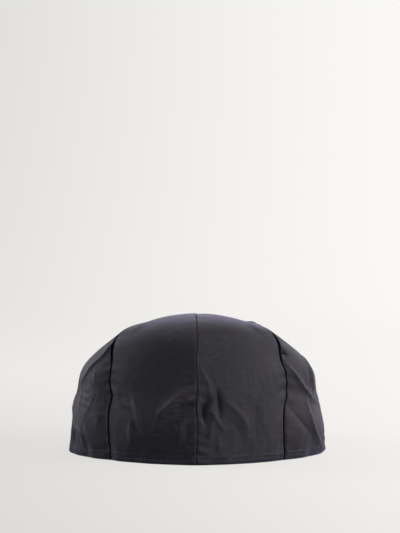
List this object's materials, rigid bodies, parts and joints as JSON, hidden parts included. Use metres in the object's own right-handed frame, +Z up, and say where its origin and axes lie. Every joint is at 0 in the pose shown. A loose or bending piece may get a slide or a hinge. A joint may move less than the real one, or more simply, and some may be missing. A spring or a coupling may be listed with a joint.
{
  "type": "flat cap",
  "caption": "Flat cap in dark waxed cotton, with a panelled crown sewn to a stiff cloth-covered peak and a covered button on top.",
  "frame": {"origin": "on the table, under the middle of the cap's length and width as it lies on its rim", "axes": "+Z up, -Y towards the peak, +Y towards the back seam, +X towards the wearer's left"},
  "size_m": [0.186, 0.2528, 0.1005],
  "materials": {
    "crown_cloth": "dark navy waxed cotton, fine weave with a low sheen and rubbed creases",
    "peak_cloth": "the same waxed cotton drawn tight over the peak",
    "button_cloth": "the same waxed cotton gathered over a small round button"
  },
  "bodies": {
    "root": {"back_panel_left": "crown_cloth", "rear_side_panel_left": "crown_cloth", "front_side_panel_left": "crown_cloth", "front_panel_left": "crown_cloth", "front_panel_right": "crown_cloth", "front_side_panel_right": "crown_cloth", "rear_side_panel_right": "crown_cloth", "back_panel_right": "crown_cloth", "peak": "peak_cloth", "button": "button_cloth"}
  },
  "joints": []
}
